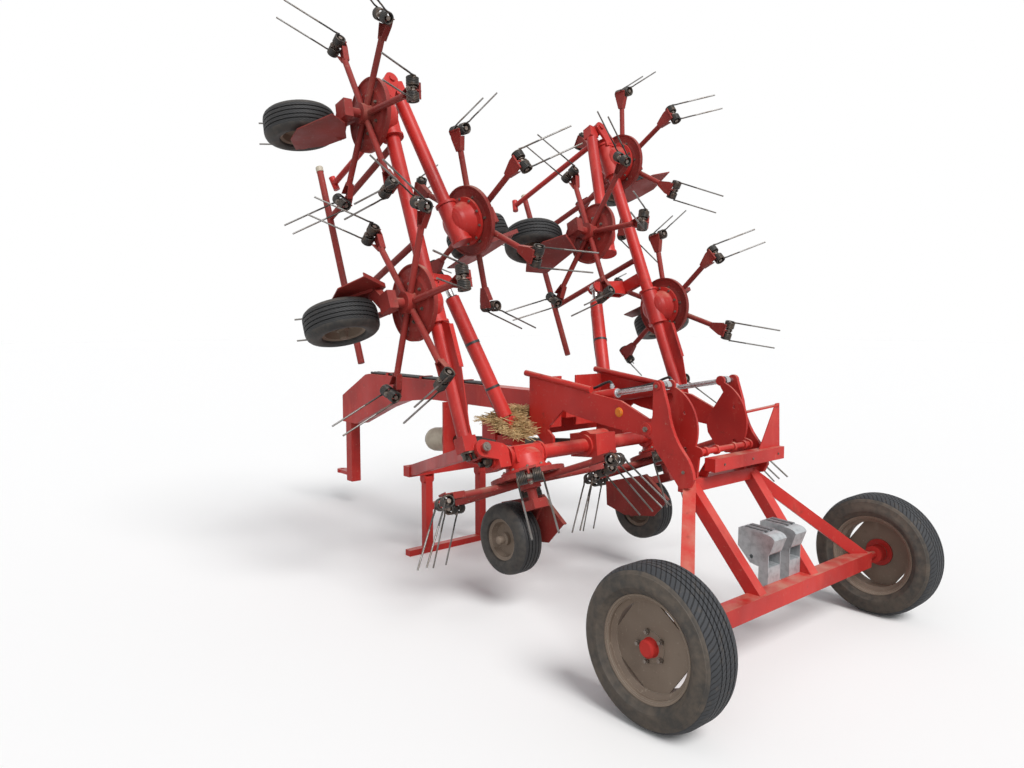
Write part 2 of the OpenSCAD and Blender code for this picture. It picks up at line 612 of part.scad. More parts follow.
module lift_line(right) on_side(right) tilted() translate([lift_ahead, lift_base[0], lift_base[1]])
    rotate([lift_angle - 90, 0, 0]) children();
module lift_barrel(right) color(paint) lift_line(right) difference() {
    union() {
        pin_x(60, 64);
        translate([0, 0, 20]) cylinder(h = 40, d = 56);
        translate([0, 0, 46]) cylinder(h = lift_len - 146, d = lift_d);
    }
    pin_x(100, 30 + 2 * fit);
    translate([0, 0, 80]) cylinder(h = lift_len, d = lift_rod_d + 2 * fit);
}
module lift_rod(right) color(steel) lift_line(right) {
    translate([0, 0, 120]) cylinder(h = lift_len - 140, d = lift_rod_d);
    translate([0, 0, lift_len]) pin_x(38, 60);
}

drawbar();
drop_leg();
drive_shaft();
shaft_guard();
gear_beam();
side_plates();
front_frame();
cylinder_mount();
stand();
centre_legs();
hoses();
sickle_plates();
carriage_frame();
wheel_chocks();
carriage_barrels();
carriage_rods();
rim_left();
rim_right();
tyre_left();
tyre_right();
for (place = ["centre", "inner", "middle", "outer"]) for (right = [false, true]) {
    name = str(place, right ? "_right" : "_left");
    at_rotor(place, right) rotor_turn(place, right) rotor();
    at_rotor(place, right) rotor_turn(place, right) tines();
    at_gauge(place, right) gauge();
}
for (right = [false, true]) {
    name = right ? "_right" : "_left";
    wing_beam(right);
    wing_guard(right);
    wing_legs(right);
    outer_beam(right);
    outer_leg(right);
    lift_barrel(right);
    lift_rod(right);
}
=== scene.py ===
import bpy
import json
import math
from mathutils import Matrix, Vector
from mathutils.bvhtree import BVHTree


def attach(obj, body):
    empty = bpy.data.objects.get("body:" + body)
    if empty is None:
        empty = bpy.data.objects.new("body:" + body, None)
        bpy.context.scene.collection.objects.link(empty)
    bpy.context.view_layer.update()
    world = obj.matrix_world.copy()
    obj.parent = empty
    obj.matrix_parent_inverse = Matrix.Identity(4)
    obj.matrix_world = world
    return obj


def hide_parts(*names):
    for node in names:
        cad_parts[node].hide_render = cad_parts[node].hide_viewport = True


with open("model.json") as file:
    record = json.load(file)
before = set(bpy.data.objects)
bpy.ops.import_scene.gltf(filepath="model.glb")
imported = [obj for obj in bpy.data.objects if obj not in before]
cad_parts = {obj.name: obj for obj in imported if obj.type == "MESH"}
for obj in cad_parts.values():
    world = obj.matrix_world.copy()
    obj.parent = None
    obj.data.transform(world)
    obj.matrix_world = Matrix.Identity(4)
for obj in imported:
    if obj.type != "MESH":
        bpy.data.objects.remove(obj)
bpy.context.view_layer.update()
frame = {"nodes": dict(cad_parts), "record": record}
record = frame["record"]
print("frame loaded", len(frame["nodes"]), "nodes")

# The transport axle's place, the rotors' dip, the sides' signs along Y, the rotors' places and how far
# each is turned, and the joints by name
axle = {"x": -1.994, "z": 0.322}
tiltDeg = 22.1
sides = {"left": 1, "right": -1}
places = ("centre", "inner", "middle", "outer")
phaseDeg = {"centre": 20, "inner": 10, "middle": 20, "outer": 10, "left": 0, "right": 30}
joints = {joint["name"]: joint for joint in record["behaviour"]["joints"]}

# The view of the photograph, in the frame's metres
viewOfPhoto = {"place": (-3.8678, 3.2634, 1.5768), "headingDeg": -40.381, "dipDeg": 4.658,
               "lensMm": 27.454, "sensorMm": 36.0}


def makeCamera():
    camera = bpy.data.cameras.new("camera")
    camera.lens = viewOfPhoto["lensMm"]
    camera.sensor_width = viewOfPhoto["sensorMm"]
    holder = bpy.data.objects.new("camera", camera)
    heading, dip = math.radians(viewOfPhoto["headingDeg"]), math.radians(viewOfPhoto["dipDeg"])
    aim = Vector((math.cos(heading) * math.cos(dip), math.sin(heading) * math.cos(dip), -math.sin(dip)))
    holder.location = viewOfPhoto["place"]
    holder.rotation_euler = aim.to_track_quat("-Z", "Y").to_euler()
    bpy.context.collection.objects.link(holder)
    bpy.context.scene.camera = holder


makeCamera()

# Painted steel: colours from clean to dirty, and how much dust and wear; the faded colour also gives the
# edges a painted highlight
paints = {
    "paint": {"name": "orange red paint", "colour": (0.58, 0.035, 0.028), "dark": (0.33, 0.018, 0.015),
              "faded": (0.64, 0.105, 0.080), "dust": (0.50, 0.36, 0.26), "grime": (0.16, 0.035, 0.026),
              "dustOnTop": 0.5, "rough": 0.36, "specks": 0.48},
    "arm_paint": {"name": "worn red paint", "colour": (0.33, 0.036, 0.029), "dark": (0.15, 0.022, 0.019),
                  "faded": (0.30, 0.105, 0.080), "dust": (0.42, 0.30, 0.22), "grime": (0.12, 0.045, 0.034),
                  "dustOnTop": 0.55, "rough": 0.5, "specks": 0.88},
    "rim": {"name": "dusty beige paint", "colour": (0.29, 0.225, 0.175), "dark": (0.17, 0.125, 0.095),
            "faded": (0.50, 0.42, 0.34), "dust": (0.46, 0.38, 0.30), "grime": (0.14, 0.105, 0.08),
            "dustOnTop": 0.3, "rough": 0.6, "specks": 1.2},
}
paints["gaugeRim"] = {**paints["rim"], "name": "beige wheel paint"}

# The paints' noises (scale, detail, roughness, stretch), the ranges in which each shows, and the shine
weather = {"broad": (2.2, 3.0), "streaks": (9.0, 5.0, 0.6, (1.0, 1.0, 0.25)), "fine": (55.0, 6.0, 0.7),
           "patches": (13.0, 5.0, 0.65), "darkFrom": (0.42, 0.72), "fadedFrom": (0.56, 0.8, 0.0, 0.75),
           "specksFrom": (0.60, 0.78), "upwardsFrom": (0.55, 0.95), "settledFrom": (0.38, 0.66),
           "grimeFrom": (0.62, 0.76, 0.0, 0.6), "wornAndLitEdgeFrom": (0.97, 0.85, 0.0, 0.8), "edgeRadius": 0.0035,
           "edgeSamples": 2, "roughFrom": (0.3, 0.8), "smoother": 0.06, "rougher": 0.25, "specular": 0.3,
           "bump": (0.10, 0.0015)}

# The red hub on a road wheel's beige plate
hubPaint = {"radius": 0.040, "blur": 0.0005, "innerFace": 0.94, "innerMore": 0.03}

# Plain stuffs: name, colour, other colour, roughness, metal, scale of the grain
stuffGrain = {"detail": 5.0, "otherFrom": (0.45, 0.75), "bump": (0.08, 0.0015)}
stuffs = {
    "steel": ("dark spring steel", (0.040, 0.038, 0.036), (0.12, 0.080, 0.055), 0.38, 0.6, 25.0),
    "tine": ("worn tine steel", (0.20, 0.19, 0.18), (0.10, 0.075, 0.055), 0.32, 0.8, 12.0),
    "rod": ("bright rod", (0.55, 0.55, 0.56), (0.30, 0.27, 0.24), 0.25, 0.9, 25.0),
    "bolt": ("bolt steel", (0.22, 0.19, 0.165), (0.14, 0.07, 0.045), 0.45, 0.6, 80.0),
    "rubber": ("hose rubber", (0.013, 0.013, 0.014), (0.045, 0.04, 0.036), 0.45, 0.0, 25.0),
    "cream": ("cream plastic", (0.56, 0.50, 0.39), (0.36, 0.29, 0.21), 0.5, 0.0, 12.0),
    "zinc": ("galvanised steel", (0.46, 0.48, 0.49), (0.30, 0.31, 0.32), 0.42, 0.35, 40.0),
    "amber": ("amber reflector", (0.80, 0.24, 0.02), (0.66, 0.17, 0.02), 0.2, 0.0, 25.0),
    # Painted shade: a near black that stands for the shade inside the chocks' slots
    "slot": ("painted slot shade", (0.012, 0.013, 0.015), (0.03, 0.03, 0.03), 0.6, 0.0, 25.0),
    "straw": ("dry straw", (0.66, 0.49, 0.25), (0.42, 0.27, 0.11), 0.7, 0.0, 9.0),
}

# Tyre rubbers; the fine cuts lie in the band across the tread, and their darker colour is painted shade
rubberGrain = {"grain": (30.0, 5.0), "cloud": (6.0, 4.0), "bandEdge": 0.01, "cutSkew": 14.0,
               "barFrom": (0.05, 0.16), "wallDustFrom": (0.78, 1.2), "treadDustFrom": (0.56, 0.8, 0.0, 0.5),
               "bump": (0.9, 0.004)}
rubbers = {
    "tyre": {"name": "road tyre rubber", "tread": (0.034, 0.036, 0.040), "cut": (0.007, 0.007, 0.008),
             "wall": (0.050, 0.045, 0.040), "dust": (0.115, 0.092, 0.072), "rough": 0.75, "cuts": 84,
             "band": (0.28, 0.72)},
    "gaugeTyre": {"name": "small tyre rubber", "tread": (0.017, 0.017, 0.018), "cut": (0.012, 0.012, 0.012),
                  "wall": (0.016, 0.016, 0.016), "dust": (0.055, 0.047, 0.040), "rough": 0.66, "cuts": 60,
                  "band": (0.18, 0.82)},
}


# Shader and geometry nodes
def setInputs(tree, node, inputs):
    # Each input by its name or number, as a value or as the socket that feeds it
    for socket, value in inputs.items():
        if isinstance(value, bpy.types.NodeSocket):
            tree.links.new(value, node.inputs[socket])
        elif value is not None:
            node.inputs[socket].default_value = value


def newNode(tree, kind, inputs, **settings):
    node = tree.nodes.new(kind)
    for key, value in settings.items():
        setattr(node, key, value)
    setInputs(tree, node, inputs)
    return node


def newMaterial(name):
    material = bpy.data.materials.new(name)
    material.use_nodes = True
    return material, material.node_tree, material.node_tree.nodes["Principled BSDF"]


def objectCoords(tree):
    return newNode(tree, "ShaderNodeTexCoord", {}).outputs["Object"]


def objectNoise(tree, scale, detail, rough=0.55, stretch=None):
    source = objectCoords(tree)
    if stretch:
        source = newNode(tree, "ShaderNodeMapping", {"Vector": source, "Scale": stretch}).outputs["Vector"]
    inputs = {"Vector": source, "Scale": scale, "Detail": detail, "Roughness": rough}
    return newNode(tree, "ShaderNodeTexNoise", inputs).outputs["Fac"]


def ramp(tree, source, low, high, toLow=0.0, toHigh=1.0):
    inputs = {"Value": source, "From Min": low, "From Max": high, "To Min": toLow, "To Max": toHigh}
    return newNode(tree, "ShaderNodeMapRange", inputs).outputs["Result"]


def calculate(tree, operation, first, second=None):
    return newNode(tree, "ShaderNodeMath", {0: first, 1: second}, operation=operation).outputs[0]


def multiply(tree, first, second):
    return calculate(tree, "MULTIPLY", first, second)


def mixColours(tree, factor, first, second):
    first, second = ((*value, 1) if isinstance(value, tuple) else value for value in (first, second))
    return newNode(tree, "ShaderNodeMix", {0: factor, 6: first, 7: second}, data_type="RGBA").outputs[2]


def splitUp(tree, source):
    return newNode(tree, "ShaderNodeSeparateXYZ", {0: source}).outputs


def addBump(tree, shader, height, strength, distance, rounded=None):
    inputs = {"Height": height, "Strength": strength, "Distance": distance, "Normal": rounded}
    bump = newNode(tree, "ShaderNodeBump", inputs)
    setInputs(tree, shader, {"Normal": bump.outputs["Normal"]})


def faceNormal(tree):
    return newNode(tree, "ShaderNodeNewGeometry", {}).outputs["Normal"]


def roundedEdges(tree):
    # The rounded normal, and how much the paint is worn and carries a painted highlight where it turns away
    # from its face
    edge = newNode(tree, "ShaderNodeBevel", {"Radius": weather["edgeRadius"]},
                   samples=weather["edgeSamples"])
    dot = newNode(tree, "ShaderNodeVectorMath", {0: edge.outputs[0], 1: faceNormal(tree)},
                  operation="DOT_PRODUCT")
    return edge.outputs[0], ramp(tree, dot.outputs["Value"], *weather["wornAndLitEdgeFrom"])


def paintedSteel(look, hub=None):
    material, tree, shader = newMaterial(look["name"])
    broad, streaks, fine, patches = (objectNoise(tree, *weather[key])
                                     for key in ("broad", "streaks", "fine", "patches"))
    tone = mixColours(tree, ramp(tree, broad, *weather["darkFrom"]), look["colour"], look["dark"])
    tone = mixColours(tree, ramp(tree, streaks, *weather["fadedFrom"]), tone, look["faded"])
    specks = multiply(tree, ramp(tree, fine, *weather["specksFrom"]), look["specks"])
    tone = mixColours(tree, specks, tone, look["dust"])
    upwards = ramp(tree, splitUp(tree, faceNormal(tree))["Z"], *weather["upwardsFrom"])
    settled = multiply(tree, upwards, ramp(tree, streaks, *weather["settledFrom"]))
    tone = mixColours(tree, multiply(tree, settled, look["dustOnTop"]), tone, look["dust"])
    tone = mixColours(tree, ramp(tree, patches, *weather["grimeFrom"]), tone, look["grime"])
    rounded, wornAndLitEdges = roundedEdges(tree)
    # The edges take the faded colour: worn paint, and also a painted highlight where the edges catch the
    # light
    tone = mixColours(tree, wornAndLitEdges, tone, look["faded"])
    if hub:
        tone = mixColours(tree, hub(tree), paints["paint"]["colour"], tone)
    smooth, rough = look["rough"] - weather["smoother"], look["rough"] + weather["rougher"]
    roughness = ramp(tree, streaks, *weather["roughFrom"], smooth, rough)
    setInputs(tree, shader, {"Base Color": tone, "Roughness": roughness,
                             "Specular IOR Level": weather["specular"]})
    addBump(tree, shader, fine, *weather["bump"], rounded)
    return material


def plainStuff(name, colour, other, rough, metal, scale):
    material, tree, shader = newMaterial(name)
    grain = objectNoise(tree, scale, stuffGrain["detail"])
    tone = mixColours(tree, ramp(tree, grain, *stuffGrain["otherFrom"]), colour, other)
    setInputs(tree, shader, {"Base Color": tone, "Metallic": metal, "Roughness": rough})
    addBump(tree, shader, grain, *stuffGrain["bump"])
    return material


def awayFromAxle(tree):
    # 0 on a road wheel's hub, 1 on its plate and rim
    x, y, z = splitUp(tree, objectCoords(tree))
    ahead = calculate(tree, "POWER", calculate(tree, "ADD", x, -axle["x"]), 2.0)
    above = calculate(tree, "POWER", calculate(tree, "ADD", z, -axle["z"]), 2.0)
    away = calculate(tree, "SQRT", calculate(tree, "ADD", ahead, above))
    inner = calculate(tree, "LESS_THAN", calculate(tree, "ABSOLUTE", y), hubPaint["innerFace"])
    away = calculate(tree, "SUBTRACT", away, multiply(tree, inner, hubPaint["innerMore"]))
    return ramp(tree, away, hubPaint["radius"] - hubPaint["blur"], hubPaint["radius"] + hubPaint["blur"])


def tyreRubber(look):
    # U runs round the tyre and V across it
    material, tree, shader = newMaterial(look["name"])
    uv = newNode(tree, "ShaderNodeUVMap", {}, uv_map="round").outputs[0]
    around, across, _ = splitUp(tree, uv)
    grain, cloud = (objectNoise(tree, *rubberGrain[key]) for key in ("grain", "cloud"))
    (low, high), edge = look["band"], rubberGrain["bandEdge"]
    onTread = multiply(tree, ramp(tree, across, low - edge, low), ramp(tree, across, high + edge, high))
    skew = multiply(tree, across, rubberGrain["cutSkew"])
    cutsRound = calculate(tree, "ADD", multiply(tree, around, look["cuts"]), skew)
    fromCut = calculate(tree, "SUBTRACT", calculate(tree, "FRACT", cutsRound), 0.5)
    bar = ramp(tree, calculate(tree, "ABSOLUTE", fromCut), *rubberGrain["barFrom"])
    dusty = ramp(tree, calculate(tree, "ADD", cloud, grain), *rubberGrain["wallDustFrom"])
    wall = mixColours(tree, dusty, look["wall"], look["dust"])
    # The cuts take the darker colour: painted shade inside them
    tread = mixColours(tree, bar, look["cut"], look["tread"])
    tread = mixColours(tree, ramp(tree, grain, *rubberGrain["treadDustFrom"]), tread, look["dust"])
    setInputs(tree, shader, {"Base Color": mixColours(tree, onTread, wall, tread),
                             "Roughness": look["rough"]})
    height = calculate(tree, "MAXIMUM", bar, calculate(tree, "SUBTRACT", 1.0, onTread))
    addBump(tree, shader, height, *rubberGrain["bump"])
    return material


materials = {key: paintedSteel(look, awayFromAxle if key == "rim" else None)
             for key, look in paints.items()}
materials.update({key: plainStuff(*look) for key, look in stuffs.items()})
materials.update({key: tyreRubber(look) for key, look in rubbers.items()})
print("materials made", len(materials))


# Places in the frame
def shift(x=0.0, y=0.0, z=0.0):
    return Matrix.Translation((x, y, z))


def turn(degrees, axis="Z"):
    return Matrix.Rotation(math.radians(degrees), 4, axis)


def machine(x=0.0, y=0.0, z=0.0):
    # A point measured from the ground under the transport axle
    return Vector((x + axle["x"], y, z))


def facing(point, way):
    # Z along the way, from the point
    return Matrix.Translation(point) @ Vector(way).to_track_quat("Z", "Y").to_matrix().to_4x4()


def ahead():
    # Forward for a rotor, which dips with its tilt
    tilt = math.radians(tiltDeg)
    return Vector((math.cos(tilt), 0.0, -math.sin(tilt)))


def axesAt(point, forward, out, up):
    return Matrix.Translation(point) @ Matrix((forward, out, up)).transposed().to_4x4()


def rotorPlace(place, side):
    # X forward, Y out along the wing, Z from the rotor's plate to its gearbox
    joint = joints[f"rotor_{place}_{side}_turn"]
    forward, axis = ahead(), Vector(joint["axis"])
    return axesAt(joint["pos_m"], forward, axis.cross(forward) * sides[side], axis)


def rotorPhase(place, side):
    # How far the rotor's first arm is turned at rest
    return phaseDeg[place] + phaseDeg[side]


def hingePlace(side):
    # X along the wing's hinge, Y out from the machine
    forward, across = ahead(), Vector((0, 1, 0))
    point = joints[f"wing_{side}_fold"]["pos_m"]
    return axesAt(point, forward, across * sides[side], forward.cross(across))


def wheelPlace(jointName):
    return facing(joints[jointName]["pos_m"], joints[jointName]["axis"])


# Shapes are lists of points, of faces and of the faces' UVs. How finely round ones are divided, and how
# deep a form that stands on another starts inside it
roundSteps = {"disc": 28, "ring": 32, "wire": 8, "boltEnd": 8}
sunk = 0.001


def moved(shape, matrix):
    # A mirrored shape has its faces turned round, and no UVs
    verts, faces, uvs = shape
    flip = matrix.determinant() < 0
    return ([tuple(matrix @ Vector(v)) for v in verts],
            [tuple(reversed(face)) if flip else face for face in faces], [] if flip else uvs)


def join(shapes):
    verts, faces, uvs = [], [], []
    for shape in shapes:
        start = len(verts)
        verts += shape[0]
        faces += [tuple(start + i for i in f) for f in shape[1]]
        uvs += shape[2]
    return verts, faces, uvs


def lathe(profile, steps, closed=True, band=None):
    # Turns (radius, along) points about Z; band gives V for each point
    verts, faces, uvs = [], [], []
    count = len(profile)
    for i in range(steps):
        angle = 2 * math.pi * i / steps
        verts += [(r * math.cos(angle), r * math.sin(angle), z) for r, z in profile]
    for i in range(steps):
        for k in range(count if closed else count - 1):
            a, b = i * count + k, i * count + (k + 1) % count
            c, d = (i + 1) % steps * count + (k + 1) % count, (i + 1) % steps * count + k
            faces.append((a, d, c, b))
            if band:
                v0, v1 = band[k], band[(k + 1) % count]
                uvs += [(i / steps, v0), ((i + 1) / steps, v0), ((i + 1) / steps, v1), (i / steps, v1)]
    return verts, faces, uvs


def sweep(points, radius, around):
    # A closed round bar along the points
    verts, faces = [], []
    normal = None
    for i, point in enumerate(points):
        way = (points[min(i + 1, len(points) - 1)] - points[max(i - 1, 0)]).normalized()
        if normal is None:
            normal = way.orthogonal().normalized()
        normal = (normal - way * normal.dot(way)).normalized()
        other = way.cross(normal)
        for k in range(around):
            angle = 2 * math.pi * k / around
            verts.append(tuple(point + (normal * math.cos(angle) + other * math.sin(angle)) * radius))
    for i in range(len(points) - 1):
        for k in range(around):
            a, b = i * around + k, i * around + (k + 1) % around
            faces.append((a, b, b + around, a + around))
    faces.append(tuple(reversed(range(around))))
    faces.append(tuple(range((len(points) - 1) * around, len(points) * around)))
    return verts, faces, []


def smoothPath(points, steps):
    # Catmull-Rom through the points
    padded = [points[0] * 2 - points[1]] + points + [points[-1] * 2 - points[-2]]
    path = []
    for a, b, c, d in zip(padded, padded[1:], padded[2:], padded[3:]):
        straight, bend, twist = c - a, 2 * a - 5 * b + 4 * c - d, 3 * b - a - 3 * c + d
        for i in range(steps):
            t = i / steps
            path.append(0.5 * (2 * b + straight * t + bend * t * t + twist * t ** 3))
    return path + [points[-1]]


def plateShape(outline, low, high):
    # An outline on X and Y made solid between two heights
    count = len(outline)
    area = sum(a[0] * b[1] - b[0] * a[1] for a, b in zip(outline, outline[1:] + outline[:1]))
    outline = outline if area > 0 else outline[::-1]
    verts = [(x, y, low) for x, y in outline] + [(x, y, high) for x, y in outline]
    faces = [tuple(reversed(range(count))), tuple(range(count, 2 * count))]
    faces += [(k, (k + 1) % count, (k + 1) % count + count, k + count) for k in range(count)]
    return verts, faces, []


def block(low, high):
    corners = [(low[0], low[1]), (high[0], low[1]), (high[0], high[1]), (low[0], high[1])]
    return plateShape(corners, low[2], high[2])


def upright(outline, y, thick):
    # An outline on X and Z, made solid across Y
    return moved(plateShape(outline, -thick / 2, thick / 2), shift(0, y, 0) @ turn(90, "X"))


def disc(radius, low, high, bevel=0.0015):
    profile = [(0.0, low), (radius, low), (radius, high - bevel), (radius - bevel, high), (0.0, high)]
    return lathe(profile, roundSteps["disc"], False)


def ringShape(inner, outer, low, high):
    return lathe([(inner, low), (outer, low), (outer, high), (inner, high)], roundSteps["ring"])


def evenCorners(radius, count):
    angles = [2 * math.pi * k / count for k in range(count)]
    return [(radius * math.cos(angle), radius * math.sin(angle)) for angle in angles]


def hexBolt(head, tall, shank=0.006, proud=0.006):
    # The head, and the shank's end standing out of it
    end = plateShape(evenCorners(shank, roundSteps["boltEnd"]), tall - sunk, tall + proud)
    return join([plateShape(evenCorners(head, 6), 0.0, tall), end])


def makeMesh(name, shape, material, smooth=35.0, second=None):
    # second holds another material and, for each face, whether it has it
    verts, faces, uvs = shape
    mesh = bpy.data.meshes.new(name)
    mesh.from_pydata(verts, [], faces)
    if uvs:
        layer = mesh.uv_layers.new(name="round")
        for loop, uv in zip(layer.data, uvs):
            loop.uv = uv
    mesh.materials.append(materials[material])
    if second:
        mesh.materials.append(materials[second[0]])
        for polygon, other in zip(mesh.polygons, second[1]):
            polygon.material_index = 1 if other else 0
    mesh.validate()
    piece = bpy.data.objects.new(name, mesh)
    bpy.context.collection.objects.link(piece)
    if smooth:
        mesh.shade_smooth()
        mesh.set_sharp_from_angle(angle=math.radians(smooth))
    return piece


def addPiece(name, shape, material, body, replaced=None, smooth=35.0, second=None):
    piece = makeMesh(name, shape, material, smooth, second)
    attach(piece, body)
    if replaced:
        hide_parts(replaced)


# Geometry node trees
def newGeometryTree(name, inputs):
    # An empty tree, the identifiers of its inputs, and their sockets inside it
    tree = bpy.data.node_groups.new(name, "GeometryNodeTree")
    tree.interface.new_socket("Geometry", in_out="INPUT", socket_type="NodeSocketGeometry")
    names = {}
    for label, kind in inputs.items():
        socket = tree.interface.new_socket(label, in_out="INPUT", socket_type=f"NodeSocket{kind}")
        names[label] = socket.identifier
    tree.interface.new_socket("Geometry", in_out="OUTPUT", socket_type="NodeSocketGeometry")
    return tree, names, newNode(tree, "NodeGroupInput", {}).outputs


def putCopies(tree, points, shape, material, placing):
    placed = newNode(tree, "GeometryNodeInstanceOnPoints", {"Points": points, "Instance": shape, **placing})
    real = newNode(tree, "GeometryNodeRealizeInstances", {0: placed.outputs[0]})
    coat = newNode(tree, "GeometryNodeSetMaterial", {"Geometry": real.outputs[0], "Material": material})
    newNode(tree, "NodeGroupOutput", {0: coat.outputs[0]})


def realized(source, tree, names, values):
    # The tree's result as a plain shape; the source is removed
    modifier = source.modifiers.new("copies", "NODES")
    modifier.node_group = tree
    for label, value in values.items():
        modifier[names[label]] = value
    source.update_tag()
    seen = source.evaluated_get(bpy.context.evaluated_depsgraph_get())
    mesh = bpy.data.meshes.new_from_object(seen)
    shape = ([tuple(v.co) for v in mesh.vertices], [tuple(p.vertices) for p in mesh.polygons], [])
    bpy.data.objects.remove(source)
    bpy.data.meshes.remove(mesh)
    return shape


def copiesTree(name, sweepsCurve):
    # Turns copies of a small mesh, or of a wire along curves, about Z
    tree, names, given = newGeometryTree(name, {"count": "Int", "wire radius": "Float",
                                                "material": "Material"})
    shape = given["Geometry"]
    if sweepsCurve:
        wire = newNode(tree, "GeometryNodeCurvePrimitiveCircle",
                       {"Resolution": roundSteps["wire"], "Radius": given["wire radius"]})
        swept = newNode(tree, "GeometryNodeCurveToMesh",
                        {"Curve": shape, "Profile Curve": wire.outputs["Curve"], "Fill Caps": True})
        shape = swept.outputs["Mesh"]
    points = newNode(tree, "GeometryNodePoints", {"Count": given["count"]})
    index = newNode(tree, "GeometryNodeInputIndex", {})
    share = calculate(tree, "DIVIDE", index.outputs[0], given["count"])
    turned = newNode(tree, "ShaderNodeCombineXYZ", {"Z": multiply(tree, share, 2 * math.pi)})
    putCopies(tree, points.outputs[0], shape, given["material"], {"Rotation": turned.outputs[0]})
    return tree, names


copyTrees = {"mesh": copiesTree("turned copies", False), "wire": copiesTree("turned wires", True)}


def turnedBolts(shape, count):
    return realized(makeMesh("bolts", shape, "bolt"), *copyTrees["mesh"],
                    {"count": count, "material": materials["bolt"]})


# Tine springs
springs = {"arms": 6, "ringRadius": 0.505, "height": -0.0523, "coilRadius": 0.0282, "wireRadius": 0.0048,
           "turns": 5, "pitch": 0.0094, "tightness": 0.93, "steps": 18, "startDeg": 150.0, "lastDeg": 210,
           "gap": 0.0115, "leave": (0.036, -0.030), "elbow": (0.058, -0.065), "tip": (0.190, -0.286),
           "lastTurn": (0.001, -0.012), "bend": ((-0.004, 0.008), (0.0, 0.0), (0.005, -0.007)),
           "tineShares": (0.2, 0.6, 1.0), "tineFrom": 0.012}


def springPath(side):
    # One pack of turns about Y, then out of the last turn, round the elbow and down the tine
    coil, total = springs["coilRadius"], springs["turns"] * springs["steps"]
    path = []
    for i in range(total + 1):
        swept = (springs["turns"] * 360 + springs["lastDeg"]) * (i / total)
        angle = math.radians(springs["startDeg"] + swept)
        along = springs["pitch"] * springs["turns"] * springs["tightness"] * i / total
        y = side * (springs["gap"] + springs["wireRadius"] + along)
        path.append((coil * math.cos(angle), y, coil * math.sin(angle)))
    (out, up), (ex, ez), (tx, tz) = (springs[key] for key in ("lastTurn", "elbow", "tip"))
    path += [(coil + out, y, up), (springs["leave"][0], y, springs["leave"][1])]
    path += [(ex + x, y, ez + z) for x, z in springs["bend"]]
    return path + [(ex + (tx - ex) * t, y, ez + (tz - ez) * t) for t in springs["tineShares"]]


def springCurve():
    curve = bpy.data.curves.new("spring", "CURVE")
    curve.dimensions = "3D"
    for side in (-1, 1):
        path = springPath(side)
        spline = curve.splines.new("POLY")
        spline.points.add(len(path) - 1)
        for point, (x, y, z) in zip(spline.points, path):
            point.co = (x + springs["ringRadius"], y, z + springs["height"], 1)
    source = bpy.data.objects.new("spring", curve)
    bpy.context.collection.objects.link(source)
    return source


def isBeyondElbow(face):
    away = min(math.hypot(*springShape[0][i][:2]) for i in face)
    return away > springs["ringRadius"] + springs["elbow"][0] + springs["tineFrom"]


springShape = realized(springCurve(), *copyTrees["wire"],
                       {"count": springs["arms"], "wire radius": springs["wireRadius"],
                        "material": materials["steel"]})
beyondElbow = [isBeyondElbow(face) for face in springShape[1]]

# The spool and the pin inside the turns (radius and half length), and the bolt that clamps them
clamp = {"washer": (0.021, 0.010), "core": (0.012, 0.0075), "pin": (0.0115, 0.058),
         "spoolSteps": 16, "pinSteps": 12, "bolt": (0.014, 0.009, 0.007, 0.006), "boltDrop": 0.022}


def clampShape():
    at = shift(springs["ringRadius"], 0, springs["height"])
    (washer, washerHalf), (core, coreHalf) = clamp["washer"], clamp["core"]
    spool = [(0.0, -washerHalf), (washer, -washerHalf), (washer, -coreHalf), (core, -coreHalf)]
    spool += [(r, -z) for r, z in reversed(spool)]
    radius, half = clamp["pin"]
    pin = [(0.0, -half), (radius, -half), (radius, half), (0.0, half)]
    return join([moved(lathe(spool, clamp["spoolSteps"], False), at @ turn(90, "X")),
                 moved(lathe(pin, clamp["pinSteps"], False), at @ turn(90, "X")),
                 moved(hexBolt(*clamp["bolt"]), at @ shift(0.0, 0.0, -clamp["boltDrop"]) @ turn(180, "X"))])


clampsShape = turnedBolts(clampShape(), springs["arms"])
for place in places:
    for side in sides:
        at = rotorPlace(place, side) @ turn(rotorPhase(place, side))
        body = f"rotor_{place}_{side}"
        addPiece(f"springs_{place}_{side}", moved(springShape, at), "steel", body,
                 f"tines_{place}_{side}", smooth=50, second=("tine", beyondElbow))
        addPiece(f"spring_bolts_{place}_{side}", moved(clampsShape, at), "bolt", body)
print("springs made")

# Bolts between the rotors' arms and round the gearboxes' flanges: ring, height, size
plateBolts = {"arms": 6, "inner": (0.088, 0.0095, (0.011, 0.007)), "outer": (0.142, 0.003, (0.009, 0.006)),
              "under": (0.100, -0.0115, (0.010, 0.007))}
flangeBolts = {"count": 10, "ring": 0.127, "height": 0.0335, "size": (0.0085, 0.007, 0.005, 0.004)}


def plateBoltShape(key):
    ring, height, size = plateBolts[key]
    return moved(hexBolt(*size), shift(ring, 0, height) @ turn(180 if height < 0 else 0, "X"))


plateBoltsShape = turnedBolts(join([plateBoltShape(key) for key in ("inner", "outer", "under")]),
                              plateBolts["arms"])
flangeBolt = moved(hexBolt(*flangeBolts["size"]), shift(flangeBolts["ring"], 0, flangeBolts["height"]))
flangeBoltsShape = turnedBolts(flangeBolt, flangeBolts["count"])
for side in sides:
    for place in places:
        at = rotorPlace(place, side)
        carrier = {"centre": "machine", "outer": f"outer_{side}"}.get(place, f"wing_{side}")
        betweenArms = at @ turn(rotorPhase(place, side) + 180 / plateBolts["arms"])
        addPiece(f"plate_bolts_{place}_{side}", moved(plateBoltsShape, betweenArms), "bolt",
                 f"rotor_{place}_{side}")
        addPiece(f"gearbox_bolts_{place}_{side}", moved(flangeBoltsShape, at), "bolt", carrier)
print("plate bolts made")

